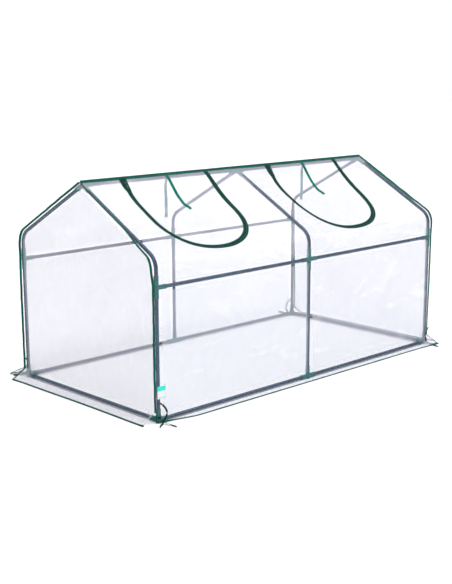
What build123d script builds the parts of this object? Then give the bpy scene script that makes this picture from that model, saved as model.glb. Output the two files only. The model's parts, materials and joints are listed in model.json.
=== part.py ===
from build123d import *
import math
import os

# Mini greenhouse: three steel-tube arches joined by rails in plastic socket
# connectors, under a clear film cover with two zipped doors in its front roof slope.
# Millimetres, +Z up, +X along the ridge, -Y is the front, origin on the ground at
# the middle of the footprint.

# ---- driving dimensions: the frame ----
ARCH_X = 892.0  # middle arch to end arch, tube centre to tube centre
POST_Y = 459.0  # middle of the house to the posts' centres
BASE_Z = 12.0  # bottom rails' centre height
MID_Z = 552.0  # mid rails' centre height
EAVE_Z = 664.0  # height where the post's line meets the roof's line
RIDGE_Z = 918.0  # ridge rail's centre height
EAVE_BEND = 70.0  # bend radius of the arch tube at the eave
TUBE_R = 8.0
TUBE_WALL = 1.0

# ---- driving dimensions: the connectors ----
SOCKET_R = 8.15  # bore that a tube slides into
ARM_R = 9.8
ARM_LENGTH = 45.0
TUBE_STOP = 12.0  # how near a tube's end comes to the connector's centre
MOUTH_R = 10.3  # bead round the socket's mouth
MOUTH_LENGTH = 4.0
HUB_R = 10.4
FOOT_FLAT_Z = 0.0  # the base connectors are cut flat here to stand on the ground

# ---- driving dimensions: the cover ----
FILM_GAP = 11.0  # tube centre to the film's inner face
FILM = 1.0  # film thickness
END_GAP = 0.5  # front and back films stop this far short of the gable films
GABLE_SKIRT = 80.0  # hem's reach beyond the end posts' centres
LONG_SKIRT = 50.0  # hem's reach beyond the front and back posts' centres
SKIRT_END_INSET = 12.0  # how far a gable skirt's outer corners are cut in
SEAM_TAPE = 2.5  # thickness of the binding folded over a standing seam
SEAM_STAND = 7.5  # how far a standing seam reaches off the film
HEM_TAPE = 6.0  # width of the binding along a hem
HEM_THICK = 1.5
CLEAR = 0.3  # gap between pieces that lie against each other

# ---- driving dimensions: the doors ----
DOOR_X = 446.0  # middle of the house to a door's middle
DOOR_HALF = 236.0  # zip's line to the door's middle
DOOR_TOP = 14.0  # ridge to the door's top edge, down the slope
DOOR_STRAIGHT = 240.0  # ridge to the end of the zip's straight legs
ZIP_TAPE = 12.0  # width of the tape on each side of the teeth
ZIP_THICK = 1.2
ZIP_GAP = 0.5  # half the gap between the two tapes
PARK_LENGTH = 62.0  # zip's covered end, where the slider parks
PARK_WIDTH = 37.0
SLIDER = (10.0, 15.0, 5.0)
SLIDER_V = 26.0  # ridge to the parked slider's middle
PULL = (6.0, 22.0, 1.2)
PULL_GAP = 1.0  # room for the pull to turn up beside the slider

# ---- driving dimensions: the ties ----
TIE_WIDTH = 13.0
TIE_THICK = 1.0
OUTER_TIE_TOP = 16.0
OUTER_TIE_LENGTH = 205.0
INNER_TIE_Y = -12.5
INNER_TIE_TOP = 916.0
INNER_TIE_LENGTH = 185.0
RIBBON_R = 1.5
KNOT = (9.0, 9.0, 8.0)

# ---- driving dimensions: the label ----
LABEL = (36.0, 1.0, 52.0)
LABEL_FOOT = 102.0

# ---- worked out from the above ----
PITCH = math.atan2(RIDGE_Z - EAVE_Z, POST_Y)
FILM_OUT = FILM_GAP + FILM
FILM_RIDGE_Z = RIDGE_Z + FILM_OUT / math.cos(PITCH)
GABLE_IN = ARCH_X + FILM_GAP
GABLE_OUT = ARCH_X + FILM_OUT
WALL_OUT = POST_Y + FILM_OUT
HEM_Y = POST_Y + LONG_SKIRT
HEM_X = ARCH_X + GABLE_SKIRT
ENDS = {"left": -1, "middle": 0, "right": 1}
SIDES = {"front": -1, "back": 1}
BAYS = {"left": -1, "right": 1}


def direction(start, end):
    """Unit vector from one point to another."""
    return (Vector(*end) - Vector(*start)).normalized()


def rod(start, end, radius):
    """Solid round bar between two points."""
    along = Vector(*end) - Vector(*start)
    base = Plane(origin=start, z_dir=along)
    return extrude(base * Circle(radius), amount=along.length)


def straight_tube(start, end):
    """Steel tube whose two ends stop inside the connectors at start and end."""
    way = direction(start, end)
    first = Vector(*start) + way * TUBE_STOP
    last = Vector(*end) - way * TUBE_STOP
    return rod(first, last, TUBE_R) - rod(first, last, TUBE_R - TUBE_WALL)


def rafter(x, side):
    """Tube bent at the eave, from the mid connector up to the ridge connector."""
    eave = Vector(x, side * POST_Y, EAVE_Z)
    foot = Vector(x, side * POST_Y, MID_Z + TUBE_STOP)
    ridge = Vector(x, 0, RIDGE_Z)
    top = ridge + direction(ridge, eave) * TUBE_STOP
    path = FilletPolyline(foot, eave, top, radius=EAVE_BEND)
    section = Plane(origin=foot, z_dir=(0, 0, 1))
    wall = Circle(TUBE_R) - Circle(TUBE_R - TUBE_WALL)
    return sweep(section * wall, path=path)


def connector(centre, ways):
    """Moulded socket connector with one arm along each way."""
    centre = Vector(*centre)
    body = Pos(*centre) * Sphere(HUB_R)
    for way in ways:
        tip = centre + way * ARM_LENGTH
        body += rod(centre, tip, ARM_R)
        body += rod(tip - way * MOUTH_LENGTH, tip, MOUTH_R)
    for way in ways:
        stop = centre + way * TUBE_STOP
        body -= rod(stop, centre + way * (ARM_LENGTH + 1), SOCKET_R)
    return body


def base_connector(x, y, ways):
    """Connector at ground level: its flared foot is cut flat to stand on the ground."""
    flare = Pos(x, y, BASE_Z / 2) * Cone(HUB_R + 0.3, HUB_R, BASE_Z)
    body = connector((x, y, BASE_Z), ways) + flare
    below = Pos(x, y, FOOT_FLAT_Z - ARM_LENGTH) * Box(200, 200, 2 * ARM_LENGTH)
    return body - below


def half_house(gap, side):
    """Half the house's end outline, its roof and wall a given gap outside the tubes."""
    top = RIDGE_Z + gap / math.cos(PITCH)
    wall = POST_Y + gap
    eave = top - wall * math.tan(PITCH)
    roofline = FilletPolyline(
        (0, top), (side * wall, eave), (side * wall, 0), radius=EAVE_BEND + gap
    )
    floor = Polyline((side * wall, 0), (0, 0), (0, top))
    return Plane.YZ * make_face(roofline.edges() + floor.edges())


def house(gap):
    """The whole end outline of the house."""
    return half_house(gap, -1) + half_house(gap, 1)


def slab(x_range, y_range, z_range):
    """Box between three pairs of limits."""
    size = [high - low for low, high in (x_range, y_range, z_range)]
    middle = [(high + low) / 2 for low, high in (x_range, y_range, z_range)]
    return Pos(*middle) * Box(*size)


def long_film(side):
    """Front or back film: roof slope, bend, wall and the skirt that lies on the ground."""
    length = 2 * (GABLE_IN - END_GAP)
    section = half_house(FILM_OUT, side) - half_house(FILM_GAP, side)
    film = Pos(-length / 2, 0, 0) * extrude(section, amount=length, dir=(1, 0, 0))
    reach = sorted((side * (POST_Y + FILM_GAP), side * (HEM_Y - HEM_TAPE - CLEAR)))
    film += slab((-length / 2, length / 2), reach, (0, FILM))
    ridge_gap = slab((-length, length), (-CLEAR / 2, CLEAR / 2), (RIDGE_Z, RIDGE_Z + 40))
    return film - ridge_gap


def gable_film(end):
    """Gable film: upright end panel and its skirt, whose outer corners are cut in."""
    panel = extrude(house(FILM_OUT), amount=FILM, dir=(1, 0, 0))
    inner = min(end * GABLE_IN, end * GABLE_OUT)
    film = Pos(inner, 0, 0) * panel
    tip = end * (HEM_X - HEM_TAPE - CLEAR)
    outline = Polyline(
        (end * GABLE_IN, -WALL_OUT),
        (tip, -WALL_OUT + SKIRT_END_INSET),
        (tip, WALL_OUT - SKIRT_END_INSET),
        (end * GABLE_IN, WALL_OUT),
        close=True,
    )
    return film + extrude(make_face(outline), amount=FILM, dir=(0, 0, 1))


def seam_bindings():
    """Bindings on the standing seams: along the ridge and round both gables."""
    foot = FILM_RIDGE_Z + CLEAR
    half = SEAM_TAPE / 2
    reach = GABLE_OUT + CLEAR + SEAM_STAND
    solids = [slab((-reach, reach), (-half, half), (foot, foot + SEAM_STAND))]
    ring = house(FILM_OUT) - house(FILM_OUT - SEAM_TAPE)
    ring -= Plane.YZ * Pos(0, 0) * Rectangle(3 * POST_Y, 4 * HEM_THICK)
    for end in BAYS.values():
        start = min(end * (GABLE_OUT + CLEAR), end * reach)
        solids.append(Pos(start, 0, 0) * extrude(ring, amount=SEAM_STAND, dir=(1, 0, 0)))
    return Compound(solids)


def hem_bindings():
    """Bindings along the four hems on the ground."""
    solids = []
    half_long = GABLE_IN - END_GAP
    half_gable = WALL_OUT - SKIRT_END_INSET
    for side in SIDES.values():
        reach = sorted((side * (HEM_Y - HEM_TAPE), side * HEM_Y))
        solids.append(slab((-half_long, half_long), reach, (0, HEM_THICK)))
    for end in BAYS.values():
        reach = sorted((end * (HEM_X - HEM_TAPE), end * HEM_X))
        solids.append(slab(reach, (-half_gable, half_gable), (0, HEM_THICK)))
    return Compound(solids)


def roof_plane(x, gap):
    """Plane on the front slope, a gap outside the tubes: local +Y runs up the slope."""
    normal = Vector(0, -math.sin(PITCH), math.cos(PITCH))
    origin = Vector(x, 0, FILM_RIDGE_Z) + normal * (gap - FILM_OUT)
    return Plane(origin=origin, x_dir=(1, 0, 0), z_dir=normal)


def door_shape(half, top=DOOR_TOP):
    """U-shaped outline of a door: straight legs and a half-round end."""
    left_end = (-half, -DOOR_STRAIGHT)
    right_end = (half, -DOOR_STRAIGHT)
    legs = Polyline(left_end, (-half, -top), (half, -top), right_end)
    sweep_end = ThreePointArc(right_end, (0, -DOOR_STRAIGHT - half), left_end)
    return make_face(legs.edges() + sweep_end.edges())


def park_shape(grow):
    """Zip's covered end at the top of the left leg, where the slider parks."""
    left = -DOOR_HALF - PARK_WIDTH + ZIP_TAPE + 2 - grow
    right = -DOOR_HALF + ZIP_TAPE - 2 + grow
    foot = -PARK_LENGTH - grow
    middle = ((left + right) / 2, (foot - DOOR_TOP + 1) / 2)
    return Pos(*middle) * Rectangle(right - left, -foot - DOOR_TOP + 1 + 0.001)


def on_roof(shape, x, low, thick):
    """Flat piece of the given outline, lying a given height outside the tubes."""
    return extrude(roof_plane(x, low) * shape, amount=thick)


def door_film(x):
    """Door panel inside the zip's line, notched where the slider parks."""
    shape = door_shape(DOOR_HALF - ZIP_GAP) - park_shape(ZIP_GAP)
    return on_roof(shape, x, FILM_GAP, FILM)


def door_zip_tape(x):
    """Half of the zip that is sewn to the door."""
    shape = door_shape(DOOR_HALF - ZIP_GAP) - door_shape(DOOR_HALF - ZIP_TAPE, 0)
    return on_roof(shape - park_shape(ZIP_GAP), x, FILM_OUT + CLEAR, ZIP_THICK)


def cover_zip_tape(x):
    """Half of the zip that is sewn to the cover, with the wide end under the slider."""
    shape = door_shape(DOOR_HALF + ZIP_TAPE) - door_shape(DOOR_HALF + ZIP_GAP, 0)
    return on_roof(shape + park_shape(0), x, FILM_OUT + CLEAR, ZIP_THICK)


def zip_slider(x):
    """Slider body, parked at the top of the left leg."""
    low = FILM_OUT + ZIP_THICK + 2 * CLEAR
    block = on_roof(Pos(-DOOR_HALF, -SLIDER_V) * Rectangle(*SLIDER[:2]), x, low, SLIDER[2])
    top_edges = block.edges().filter_by(Axis.X).sort_by(Axis.Z)[-2:]
    return fillet(top_edges, 1.5)


def zip_pull(x):
    """Pull tab hanging down the slope from the slider."""
    low = FILM_OUT + ZIP_THICK + 3 * CLEAR
    start = SLIDER_V + SLIDER[1] / 2 + PULL_GAP
    tab = Pos(-DOOR_HALF, -start - PULL[1] / 2) * RectangleRounded(PULL[0], PULL[1], 2)
    return on_roof(tab, x, low, PULL[2])


def outer_tie(x):
    """Tie tape lying on the outside of the door."""
    strip = Pos(0, -OUTER_TIE_TOP - OUTER_TIE_LENGTH / 2) * Rectangle(TIE_WIDTH, OUTER_TIE_LENGTH)
    return on_roof(strip, x, FILM_OUT + CLEAR, TIE_THICK)


def inner_tie(x):
    """Tie tape hanging inside, in front of the ridge rail."""
    drop = (INNER_TIE_TOP - INNER_TIE_LENGTH, INNER_TIE_TOP)
    thick = (INNER_TIE_Y - TIE_THICK / 2, INNER_TIE_Y + TIE_THICK / 2)
    return slab((x - TIE_WIDTH / 2, x + TIE_WIDTH / 2), thick, drop)


# Route of a corner ribbon, from its seam down to the knot, and its two tails on the
# ground, for the front left corner. The other corners mirror it.
RIBBON_DROP = [(-899, -478, 84), (-874, -481, 64), (-868, -484, 34), (-888, -483, 8)]
RIBBON_TAILS = [
    [(-888, -483, 8), (-905, -499, 5), (-921, -505, 4), (-936, -519, 3.5)],
    [(-888, -483, 8), (-882, -507, 5), (-885, -531, 4), (-880, -556, 3.5)],
]


def strand(points, radius):
    """Round strand along a route, its bends as large as its runs allow."""
    spots = [Vector(*p) for p in points]
    radii = []
    for before, corner, after in zip(spots, spots[1:], spots[2:]):
        turn = (corner - before).get_angle(after - corner)
        shorter = min((corner - before).length, (after - corner).length)
        radii.append(0.45 * shorter / math.tan(math.radians(turn / 2)))
    path = FilletPolyline(*spots, radius=radii)
    section = Plane(origin=spots[0], z_dir=spots[1] - spots[0])
    return sweep(section * Circle(radius), path=path)


def corner_ties():
    """The ribbons at the four corners: a drop from the seam, a knot and two tails."""
    front_left = Pos(*RIBBON_DROP[-1]) * Box(*KNOT)
    for route in [RIBBON_DROP] + RIBBON_TAILS:
        front_left += strand(route, RIBBON_R)
    back_left = mirror(front_left, about=Plane.XZ)
    left = [front_left, back_left]
    return Compound(left + [mirror(tie, about=Plane.YZ) for tie in left])


def care_label():
    """Blank label sewn into the front left seam."""
    left = -GABLE_IN + END_GAP
    front = -WALL_OUT - CLEAR
    return slab(
        (left, left + LABEL[0]),
        (front - LABEL[1], front),
        (LABEL_FOOT, LABEL_FOOT + LABEL[2]),
    )


def frame_tubes():
    """Every steel tube of the frame, by name."""
    tubes = {}
    for arch, end in ENDS.items():
        x = end * ARCH_X
        for face, side in SIDES.items():
            y = side * POST_Y
            tubes[f"{arch}_{face}_post"] = straight_tube((x, y, BASE_Z), (x, y, MID_Z))
            tubes[f"{arch}_{face}_rafter"] = rafter(x, side)
    rails = {"ridge_rail": (0, RIDGE_Z)}
    for face, side in SIDES.items():
        rails[f"{face}_mid_rail"] = (side * POST_Y, MID_Z)
        rails[f"{face}_base_rail"] = (side * POST_Y, BASE_Z)
    for bay, end in BAYS.items():
        for rail, (y, z) in rails.items():
            tubes[f"{bay}_{rail}"] = straight_tube((0, y, z), (end * ARCH_X, y, z))
        x = end * ARCH_X
        tubes[f"{bay}_gable_base_rail"] = straight_tube(
            (x, -POST_Y, BASE_Z), (x, POST_Y, BASE_Z)
        )
    return tubes


def frame_connectors():
    """Every plastic connector of the frame, by name."""
    connectors = {}
    up = Vector(0, 0, 1)
    for arch, end in ENDS.items():
        x = end * ARCH_X
        along = [Vector(way, 0, 0) for way in (-1, 1) if way != end]
        slopes = [
            direction((0, 0, RIDGE_Z), (0, side * POST_Y, EAVE_Z)) for side in SIDES.values()
        ]
        connectors[f"{arch}_ridge_connector"] = connector((x, 0, RIDGE_Z), along + slopes)
        for face, side in SIDES.items():
            y = side * POST_Y
            inward = [Vector(0, -side, 0)] if end else []
            connectors[f"{arch}_{face}_mid_connector"] = connector(
                (x, y, MID_Z), [up, up * -1] + along
            )
            connectors[f"{arch}_{face}_base_connector"] = base_connector(
                x, y, [up] + along + inward
            )
    return connectors


def cover_pieces():
    """The cover's films, bindings, doors, zips, ties and label, by name."""
    pieces = {
        "front_film": long_film(-1),
        "back_film": long_film(1),
        "left_gable_film": gable_film(-1),
        "right_gable_film": gable_film(1),
        "seam_bindings": seam_bindings(),
        "hem_bindings": hem_bindings(),
        "corner_ties": corner_ties(),
        "care_label": care_label(),
    }
    for bay, end in BAYS.items():
        x = end * DOOR_X
        opening = door_shape(DOOR_HALF + ZIP_GAP, DOOR_TOP - 1) - park_shape(0)
        pieces["front_film"] -= on_roof(opening, x, FILM_GAP - 1, FILM + 2)
        pieces[f"{bay}_door_film"] = door_film(x)
        pieces[f"{bay}_door_zip_tape"] = door_zip_tape(x)
        pieces[f"{bay}_zip_slider"] = zip_slider(x)
        pieces[f"{bay}_zip_pull"] = zip_pull(x)
        pieces[f"{bay}_outer_tie"] = outer_tie(x)
        pieces[f"{bay}_inner_tie"] = inner_tie(x)
    pieces["cover_zip_tapes"] = Compound([cover_zip_tape(end * DOOR_X) for end in BAYS.values()])
    return pieces


os.makedirs("parts", exist_ok=True)
for group in (frame_tubes(), frame_connectors(), cover_pieces()):
    for name, shape in group.items():
        export_step(shape, f"parts/{name}.step")
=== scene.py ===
import json
import math

import bpy
import numpy as np
from mathutils import Matrix, Vector
from mathutils.kdtree import KDTree


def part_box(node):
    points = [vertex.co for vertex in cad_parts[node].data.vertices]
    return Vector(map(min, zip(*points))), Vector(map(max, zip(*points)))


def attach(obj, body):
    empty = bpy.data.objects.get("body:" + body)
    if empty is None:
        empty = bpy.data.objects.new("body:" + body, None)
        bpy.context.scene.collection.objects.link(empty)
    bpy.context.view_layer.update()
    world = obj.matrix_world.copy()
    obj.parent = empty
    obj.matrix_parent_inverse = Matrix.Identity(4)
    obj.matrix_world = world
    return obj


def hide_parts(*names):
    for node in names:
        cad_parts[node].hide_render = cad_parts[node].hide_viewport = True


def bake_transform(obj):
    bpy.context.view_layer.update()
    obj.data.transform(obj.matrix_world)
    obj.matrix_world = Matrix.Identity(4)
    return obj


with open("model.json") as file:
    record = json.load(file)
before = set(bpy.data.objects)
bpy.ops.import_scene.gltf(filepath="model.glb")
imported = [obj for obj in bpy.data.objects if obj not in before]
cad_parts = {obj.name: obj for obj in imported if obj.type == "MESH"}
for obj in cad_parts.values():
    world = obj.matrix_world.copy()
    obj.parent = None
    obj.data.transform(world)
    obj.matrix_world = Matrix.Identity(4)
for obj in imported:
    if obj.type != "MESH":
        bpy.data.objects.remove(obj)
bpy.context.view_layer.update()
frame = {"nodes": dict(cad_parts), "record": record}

# A low gabled greenhouse: tube arches in plastic connectors under a clear film cover.
# Points are worked out in millimetres and turned into metres when a mesh is made.

# ---- the frame, as the CAD has it ----
MM = 0.001
ARCH_X = 892.0
POST_Y = 459.0
MID_Z = 552.0
EAVE_Z = 664.0
RIDGE_Z = 918.0
EAVE_BEND = 70.0
PITCH = math.atan2(RIDGE_Z - EAVE_Z, POST_Y)

# ---- the cover ----
GAP = 11.5  # tube centre to the middle of the film
STEP = 9.0  # spacing of the films' vertices
SKIRT_Z = 50.0  # where the film leaves the wall and turns out to the hem
SAG = {-1: 46.0, 1: 57.0}  # how deep the front roof film sags in each bay
BACK_SAG = {-1: 44.0, 1: 48.0}
SAG_RUN = 66.0  # slope length in which most of the sag is reached
BINDING_OUT = 10.5  # how far a seam's binding stands off the film
HEM_WIDTH = 7.0
HEM_Z = 2.6  # height of the hems' middle above the ground
HEM_HALF = 903.0  # half length of the long films' hems before their corners are drawn out
FILM_LIES = 15.5  # distance from a tube's centre line within which the film lies against it
HAZE_RUN = 8.0  # distance over which the film then turns from clear to hazy
RIDGE_HAZE_Z = 895.0  # above this the films lie double, so they are hazy however close the tube is

# ---- the doors ----
DOOR_X = 444.0
DOOR_HALF = 237.0
LEG_END = 240.0
DOOR_FOOT = 470.0
DOOR_LEAN = 10.0  # how far the doors' feet lie to the left of square
DOOR_ROUND = 2.3  # exponent of the rounded end: 2 is an ellipse, more is squarer
ZIP_TAPE = 12.5  # width of one tape
ZIP_START = 8.0
PARK_FOOT = 62.0  # foot of the widened band that the slider is parked on
SLIDER_V = 26.0  # slider's middle below the ridge, measured down the slope
SLIDER_BAY = 446.0  # the CAD's middle of a door, and its zip leg beside that
SLIDER_LEG = 236.0

# ---- the ties ----
TIE_HALF = 6.5
TIE_X = 443.0
OUTER_TIE_ENDS = (6.0, 206.0)  # down the slope
INNER_TIE_TOP = (446.0, -12.5, 916.0)
INNER_TIE_DROP = 174.0

# ---- worked out ----
TOP_Z = RIDGE_Z + GAP / math.cos(PITCH)
WALL_Y = POST_Y + GAP
BEND = EAVE_BEND + GAP
TURN = math.pi / 2 - PITCH
TANGENT = BEND * math.tan(TURN / 2)
SLOPE_END = WALL_Y / math.cos(PITCH) - TANGENT
ARC_END = SLOPE_END + BEND * TURN
WALL_TOP = TOP_Z - WALL_Y * math.tan(PITCH) - TANGENT
QUARTER = GAP * math.pi / 2  # film's length round a quarter of a tube
MID_S = ARC_END + WALL_TOP - MID_Z
SKIRT_S = ARC_END + WALL_TOP - SKIRT_Z
COVER = "frame_and_cover"
BAYS = {"left": -1, "right": 1}
SIDES = {"front": -1, "back": 1}


# ------------------------------------------------------------------ camera
CAMERA_AT = (-3.565, -3.628, 1.406)
CAMERA_TURN = (-43.91, 11.9, -0.21)  # azimuth, elevation and roll in degrees
CAMERA_LENS = 66.71


def make_camera():
    """Camera at the photograph's viewing angle."""
    azimuth, elevation, roll = (math.radians(a) for a in CAMERA_TURN)
    level = math.cos(elevation)
    ahead = Vector((-math.sin(azimuth) * level, math.cos(azimuth) * level, -math.sin(elevation)))
    right = Vector((math.cos(azimuth), math.sin(azimuth), 0))
    up = right.cross(ahead)
    across = math.cos(roll) * right + math.sin(roll) * up
    above = math.cos(roll) * up - math.sin(roll) * right
    data = bpy.data.cameras.new("camera")
    data.lens = CAMERA_LENS
    data.clip_end = 100
    camera = bpy.data.objects.new("camera", data)
    turn = Matrix((across, above, -ahead)).transposed().to_4x4()
    camera.matrix_world = Matrix.Translation(CAMERA_AT) @ turn
    bpy.context.scene.collection.objects.link(camera)
    bpy.context.scene.camera = camera


make_camera()


# ------------------------------------------------------------------ mesh helpers
def unit(v):
    """Rows of vectors made one long."""
    v = np.asarray(v, float)
    return v / np.maximum(np.linalg.norm(v, axis=-1, keepdims=True), 1e-9)


def distances(line):
    """How far along a line of points each one is."""
    return np.concatenate([[0], np.cumsum(np.linalg.norm(np.diff(line, axis=0), axis=1))])


def tangents(line):
    """Directions of a line at its points."""
    return unit(np.gradient(line, axis=0))


def squared(v, tangent):
    """Directions v turned square to the tangents."""
    return unit(v - (v * tangent).sum(axis=1, keepdims=True) * tangent)


def smooth(t):
    """0 to 1 with level ends."""
    t = np.clip(t, 0, 1)
    return t * t * (3 - 2 * t)


def blend_curve(x, knots, values):
    """Values between knots, joined by level-ended steps."""
    x = np.asarray(x, float)
    out = np.full(x.shape, float(values[0]))
    for a, b, low, high in zip(knots, knots[1:], values, values[1:]):
        out += (high - low) * smooth((x - a) / (b - a))
    return out


def new_object(name, points, faces, uvs, material):
    """Mesh object from points in millimetres, faces and one UV pair per point."""
    mesh = bpy.data.meshes.new(name)
    mesh.from_pydata((np.asarray(points, float) * MM).tolist(), [], faces)
    layer = mesh.uv_layers.new(name="UVMap")
    corner = np.empty(len(mesh.loops), dtype=np.int32)
    mesh.loops.foreach_get("vertex_index", corner)
    layer.data.foreach_set("uv", (np.asarray(uvs, float)[corner] * MM).ravel())
    mesh.polygons.foreach_set("use_smooth", [True] * len(mesh.polygons))
    mesh.materials.append(material)
    obj = bpy.data.objects.new(name, mesh)
    bpy.context.scene.collection.objects.link(obj)
    return obj


def grid_faces(rows, columns, start=0, wrap=False):
    """Quads of a grid of points laid out row by row."""
    faces = []
    for i in range(rows - 1):
        for j in range(columns if wrap else columns - 1):
            k = (j + 1) % columns
            a = start + i * columns
            faces.append((a + j, a + k, a + columns + k, a + columns + j))
    return faces


def grid_uvs(grid):
    """UVs of a grid in millimetres: along its rows and down its columns."""
    across = np.linalg.norm(np.diff(grid, axis=1), axis=2)
    down = np.linalg.norm(np.diff(grid, axis=0), axis=2)
    u = np.pad(np.cumsum(across, axis=1), ((0, 0), (1, 0)))
    v = np.pad(np.cumsum(down, axis=0), ((1, 0), (0, 0)))
    return np.stack([u, v], axis=2).reshape(-1, 2)


class Solid:
    """Collects lofted parts that make up one object."""

    def __init__(self):
        self.points, self.faces, self.uvs = [], [], []

    def loft(self, rings, cap=True):
        """Adds a closed tube through rings of points."""
        rings = np.asarray(rings, float)
        count, size = rings.shape[:2]
        start = len(self.points)
        around = distances(rings[0])
        for ring, u in zip(rings, distances(rings.mean(axis=1))):
            self.points.extend(ring.tolist())
            self.uvs.extend([(u, v) for v in around])
        self.faces += grid_faces(count, size, start, wrap=True)
        if cap:
            self.faces.append(tuple(range(start + size - 1, start - 1, -1)))
            last = start + (count - 1) * size
            self.faces.append(tuple(range(last, last + size)))

    def tape(self, *strip, cells=6, cap=True):
        """Adds a flat tape: strip is what strip_rings takes."""
        self.loft(strip_rings(*strip, cells), cap)

    def make(self, name, material):
        """The collected parts as one object."""
        return new_object(name, self.points, self.faces, self.uvs, material)


def strip_rings(centre, across, normal, low, high, thick, cells):
    """Rings of a flat tape: it reaches from low to high along across."""
    centre = np.asarray(centre, float)
    across, normal = (np.broadcast_to(v, centre.shape) for v in (across, normal))
    count = len(centre)
    low, high, thick = (np.broadcast_to(v, count) for v in (low, high, thick))
    t = np.linspace(0, 1, cells + 1)
    edge = np.sqrt(np.clip(1 - (2 * t - 1) ** 6, 0.02, 1))
    rings = []
    for side in (1, -1):
        order = slice(None) if side == 1 else slice(None, None, -1)
        reach = low[:, None] + (high - low)[:, None] * t[order][None, :]
        lift = side * 0.5 * thick[:, None] * edge[order][None, :]
        flat = centre[:, None] + reach[..., None] * across[:, None]
        rings.append(flat + lift[..., None] * normal[:, None])
    return np.concatenate(rings, axis=1)


def tube_rings(centre, radius, size=8):
    """Rings of a round tube along a line of points."""
    centre = np.asarray(centre, float)
    radius = np.broadcast_to(radius, len(centre))
    tangent = tangents(centre)
    side = unit(np.cross(tangent, [0.13, 0.21, 0.97]))
    other = np.cross(tangent, side)
    turn = np.linspace(0, 2 * math.pi, size, endpoint=False)
    ring = np.cos(turn)[None, :, None] * side[:, None] + np.sin(turn)[None, :, None] * other[:, None]
    return centre[:, None] + ring * radius[:, None, None]


def ripple(u, v, seed, size, count=5):
    """Smooth wavy noise between about -1 and 1 whose waves are about size long."""
    rng = np.random.default_rng(seed)
    total = 0
    for _ in range(count):
        turn, phase = rng.uniform(0, 2 * math.pi, 2)
        wave = size * rng.uniform(0.7, 1.6)
        total = total + np.sin((u * math.cos(turn) + v * math.sin(turn)) * 2 * math.pi / wave + phase)
    return total / math.sqrt(count)


def creases(u, v, marks):
    """Height of soft folds, each from one point to another with a width and a height."""
    total = np.zeros(np.broadcast(u, v).shape)
    for u0, v0, u1, v1, width, height in marks:
        run = math.hypot(u1 - u0, v1 - v0)
        du, dv = (u1 - u0) / run, (v1 - v0) / run
        t = ((u - u0) * du + (v - v0) * dv) / run
        d = (u - u0) * dv - (v - v0) * du
        window = smooth(t / 0.3) * smooth((1 - t) / 0.45)
        total += height * window * np.exp(-((d / width) ** 2))
    return total


# ------------------------------------------------------------------ shape of the cover
def profile(s):
    """Point (out, up) and normal of the cover's end outline, s millimetres from the ridge."""
    s = np.asarray(s, float)
    beta = PITCH + TURN * np.clip((s - SLOPE_END) / (ARC_END - SLOPE_END), 0, 1)
    slope = np.clip(s, None, SLOPE_END)
    out = slope * math.cos(PITCH) + BEND * (np.sin(beta) - math.sin(PITCH))
    up = TOP_Z - slope * math.sin(PITCH) + BEND * (np.cos(beta) - math.cos(PITCH))
    up = up - np.clip(s - ARC_END, 0, None)
    return out, up, np.sin(beta), np.cos(beta)


def sag(x, s, depth):
    """How far the film lies inside the line of the arches."""
    share = np.clip(np.abs(x) / ARCH_X, 0, 1)
    across = np.clip(np.sin(math.pi * share), 0, 1) ** 0.6
    from_left = np.where(x < 0, 1 - share, share)
    deep = np.where(x < 0, depth[-1], depth[1]) * (1.22 - 0.18 * from_left)
    run = SAG_RUN * (1 + 1.5 * from_left**2)
    down = 1 - np.exp(-((np.clip(s, 0, None) / run) ** 1.5))
    held = 1 - smooth((s - SLOPE_END + 20) / (MID_S - SLOPE_END + 20))
    return deep * across * down * held


def crease_marks(seed):
    """Soft folds of a long film: off the arches, along the eaves and up from the hem."""
    rng = np.random.default_rng(seed)
    marks = []
    for bay in (-1, 1):
        for arch, into in ((bay * ARCH_X, -bay), (0.0, bay)):
            for _ in range(9):
                s = rng.uniform(60, 640)
                run = rng.uniform(90, 260)
                drop = rng.uniform(-0.7, 0.9) * run
                height = rng.uniform(1.0, 2.6) * rng.choice([-1, 1])
                width = rng.uniform(7, 14)
                marks.append((arch + into * 8, s, arch + into * run, s + drop, width, height))
        for _ in range(7):
            x = bay * rng.uniform(80, 800)
            s = rng.uniform(SLOPE_END + 10, MID_S - 5)
            run = rng.uniform(120, 320)
            drop, width, height = rng.uniform(-25, 25), rng.uniform(8, 15), rng.uniform(1.2, 2.6)
            marks.append((x - run / 2, s, x + run / 2, s + drop, width, height))
        for _ in range(8):
            x = bay * rng.uniform(60, 840)
            s = rng.uniform(MID_S + 30, SKIRT_S - 60)
            run = rng.uniform(140, 380)
            lean = rng.uniform(-0.5, 0.5) * run
            marks.append((x, s, x + lean, s + run, rng.uniform(12, 26), rng.uniform(1.0, 3.0)))
    return marks


FRONT_MARKS = crease_marks(11)
BACK_MARKS = crease_marks(23)


def cover_surface(x, s, side):
    """Points of a long film between the end arches, s millimetres down from the ridge."""
    x, s = np.broadcast_arrays(np.asarray(x, float), np.asarray(s, float))
    front = side < 0
    out, up, n_out, n_up = profile(s)
    depth = sag(x, s, SAG if front else BACK_SAG)
    free = smooth(np.abs(np.abs(x) - ARCH_X) / 60) * smooth(np.abs(x) / 40)
    free = free * smooth(s / 50) * smooth(np.abs(s - MID_S) / 30 + 0.15)
    fold = creases(x, s, FRONT_MARKS if front else BACK_MARKS)
    fold = fold + 1.3 * ripple(x, s, 5 if front else 6, 230)
    inward = depth - free * fold
    y = side * (out - inward * n_out)
    z = up - inward * n_up
    return np.stack([x, y, z], axis=-1)


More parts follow.
